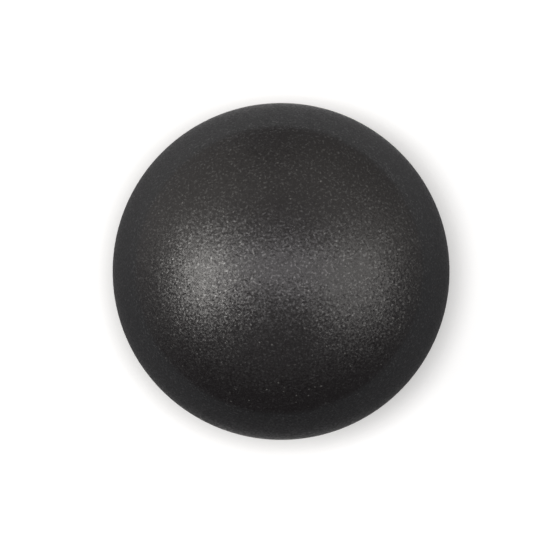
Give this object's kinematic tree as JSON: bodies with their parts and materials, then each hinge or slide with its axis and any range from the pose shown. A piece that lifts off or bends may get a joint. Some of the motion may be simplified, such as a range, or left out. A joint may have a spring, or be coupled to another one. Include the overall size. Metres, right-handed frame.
{
  "type": "lawn bowl",
  "caption": "Black biased bowl for lawn bowls: a slightly flattened ball with a smooth running sole, a plain grained cheek and a ringed disc on the bias cheek it lies on.",
  "frame": {"origin": "middle of the flat foot on the bias cheek, in the plane of the surface that the bowl lies on", "axes": "+Z along the turning axis, from the bias cheek to the plain cheek; X and Y are any two level directions, because the bowl is turned"},
  "size_m": [0.1238, 0.1238, 0.114],
  "materials": {
    "bowl_resin": "moulded black resin, fine-grained and matt on the cheeks, turned and satin on the running sole",
    "core_resin": "coarse pressed filler, dull dark brown",
    "disc_plastic": "cream disc, polished",
    "ring_enamel": "dark red-brown enamel filling the disc's grooves",
    "cheek_enamel": "cream enamel filling the groove in the cheek"
  },
  "bodies": {
    "root": {"plain_side_skin": "bowl_resin", "bias_side_skin": "bowl_resin", "core": "core_resin", "bias_disc": "disc_plastic", "disc_outer_ring_inlay": "ring_enamel", "disc_inner_ring_inlay": "ring_enamel", "disc_centre_inlay": "ring_enamel", "cheek_ring_inlay": "cheek_enamel"}
  },
  "joints": []
}
